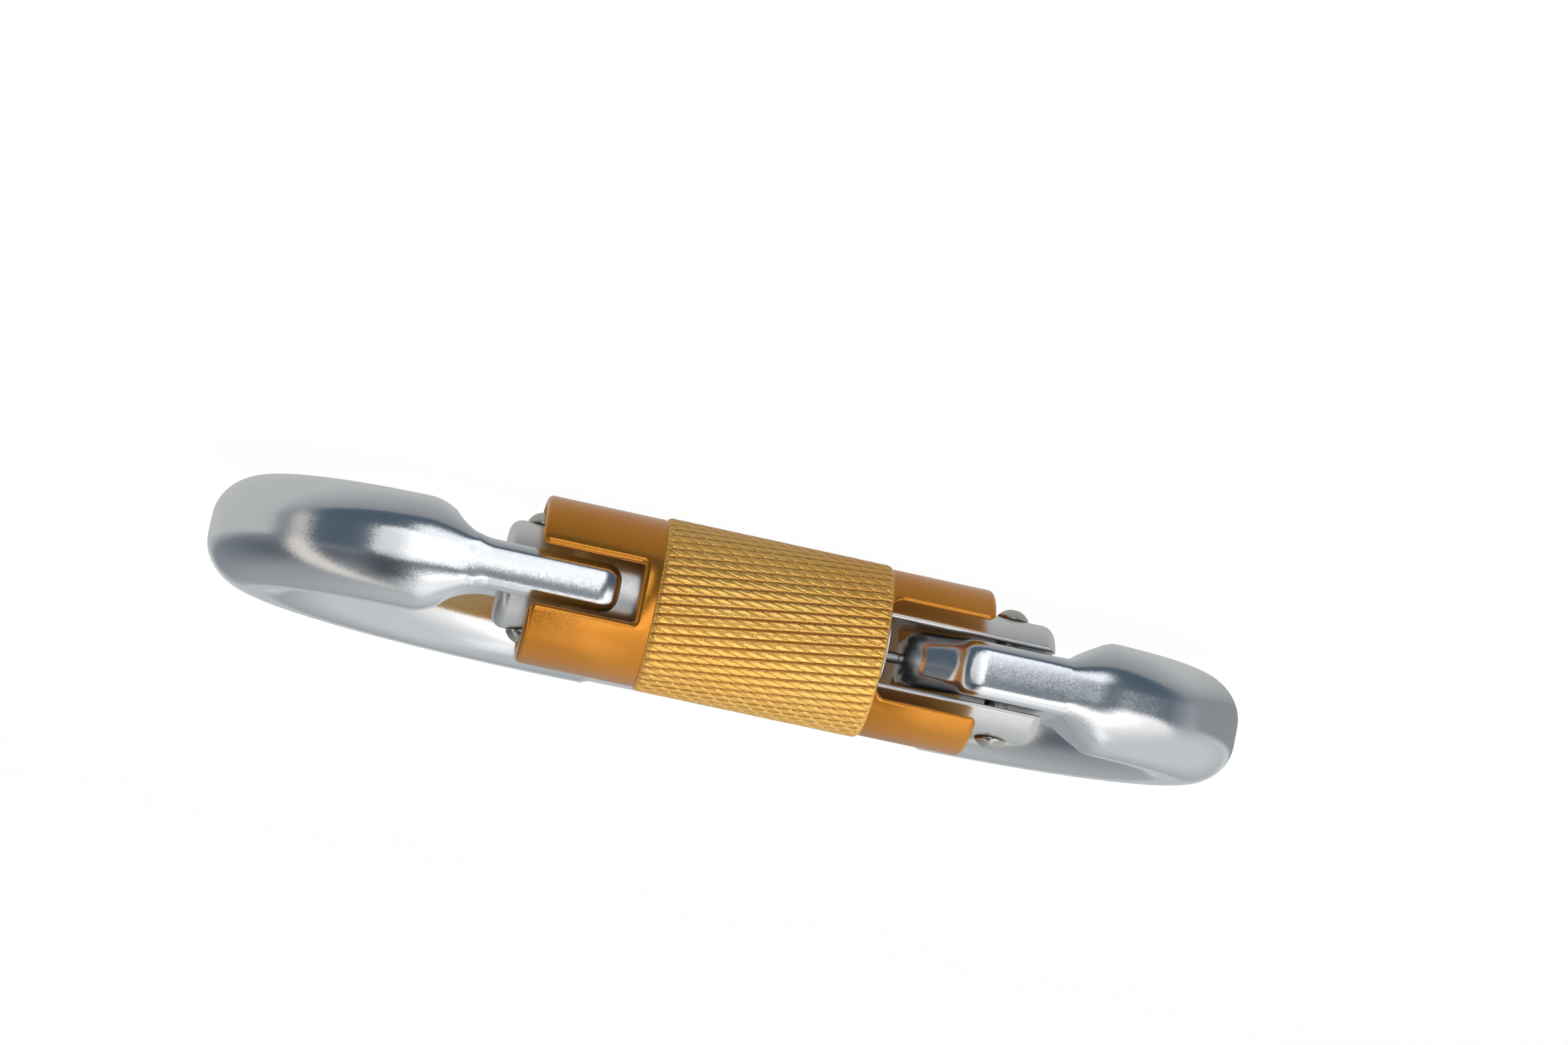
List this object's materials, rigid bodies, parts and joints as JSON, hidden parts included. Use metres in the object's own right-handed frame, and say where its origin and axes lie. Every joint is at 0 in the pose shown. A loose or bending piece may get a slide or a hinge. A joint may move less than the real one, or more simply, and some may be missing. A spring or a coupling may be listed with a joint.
{
  "type": "carabiner",
  "caption": "Auto-locking carabiner: asymmetric oval forged frame, slotted swinging gate and a knurled quarter-turn locking sleeve.",
  "frame": {"origin": "centre of the whole object's box, on the frame's mid-plane", "axes": "+X along the gate axis from the hinge to the nose, +Y from the gate towards the spine, +Z normal to the frame's mid-plane"},
  "size_m": [0.1102, 0.0596, 0.018],
  "materials": {
    "forged_aluminium": "tumble-polished satin",
    "barrel_aluminium": "clear-anodised satin",
    "anodised_gold": "gold-orange anodised, half gloss",
    "rivet_steel": "stainless, domed and punched",
    "turned_steel": "turned stainless",
    "spring_steel": "drawn spring wire"
  },
  "bodies": {
    "frame": {"frame_body": "forged_aluminium"},
    "gate": {"gate_barrel": "barrel_aluminium", "hinge_rivet": "rivet_steel", "latch_rivet": "rivet_steel", "gate_spring": "spring_steel", "sleeve_spring": "spring_steel", "sleeve_stop_pin": "turned_steel"},
    "sleeve": {"locking_sleeve": "anodised_gold", "sleeve_end_ring": "anodised_gold"},
    "plunger": {"gate_plunger": "turned_steel"}
  },
  "joints": [
    {"name": "gate_hinge", "type": "hinge", "parent": "frame", "child": "gate", "pos_m": [-0.0277, -0.0208, 0], "axis": [0, 0, 1], "range_deg": [0, 20], "stiffness_Nm_per_rad": 0.25, "springref_deg": -1.72},
    {"name": "sleeve_twist", "type": "hinge", "parent": "gate", "child": "sleeve", "pos_m": [-0.0024, -0.0208, 0], "axis": [-1, 0, 0], "range_deg": [0, 90], "deforming": ["sleeve_spring"]},
    {"name": "plunger_slide", "type": "slide", "parent": "gate", "child": "plunger", "axis": [1, 0, 0], "range_m": [0, 0.0013], "deforming": ["gate_spring"]}
  ],
  "couplings": [
    {"joint": "plunger_slide", "follows": "gate_hinge", "m_per_rad": 0.0036}
  ]
}
